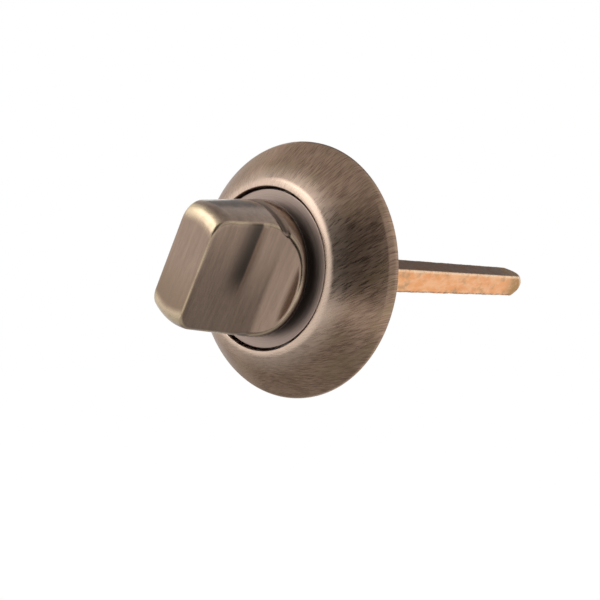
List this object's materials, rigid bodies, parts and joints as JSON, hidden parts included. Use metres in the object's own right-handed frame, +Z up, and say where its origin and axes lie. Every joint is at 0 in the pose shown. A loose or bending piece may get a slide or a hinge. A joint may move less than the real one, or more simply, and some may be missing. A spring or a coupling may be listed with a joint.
{
  "type": "bathroom thumb turn lock",
  "caption": "Round domed rose with a scooped thumb turn knob in brushed antique bronze, and a square spindle that works a bathroom lock through the door.",
  "frame": {"origin": "centre of the rose's back face, on the axis of the knob", "axes": "+Y along the spindle into the door, -Y towards the user, +Z up, +X to the user's right"},
  "size_m": [0.053, 0.1247, 0.053],
  "materials": {
    "antique_bronze_dome": "brushed and lacquered antique bronze",
    "antique_bronze_disc": "finely turned antique bronze",
    "antique_bronze_knob": "brushed antique bronze, rubbed to pale brass on the edges",
    "die_cast_zinc": "die-cast zinc, as cast",
    "natural_nylon": "moulded",
    "black_nylon": "moulded",
    "zinc_plated_steel": "zinc plated",
    "spring_steel": "oiled spring steel",
    "copper_plated_steel": "copper plated, stained"
  },
  "bodies": {
    "rose": {"rose_cover": "antique_bronze_dome", "mounting_base": "die_cast_zinc", "centre_disc": "antique_bronze_disc", "stem_bush": "natural_nylon", "knob_washer": "black_nylon"},
    "knob": {"thumb_turn": "antique_bronze_knob", "stop_washer": "zinc_plated_steel", "wave_washer": "spring_steel", "backing_washer": "zinc_plated_steel", "retaining_ring": "spring_steel", "spindle": "copper_plated_steel", "spindle_pin": "spring_steel"}
  },
  "joints": [
    {"name": "turn", "type": "hinge", "parent": "rose", "child": "knob", "pos_m": [0, 0, 0], "axis": [0, -1, 0], "range_deg": [-60, 30]}
  ]
}
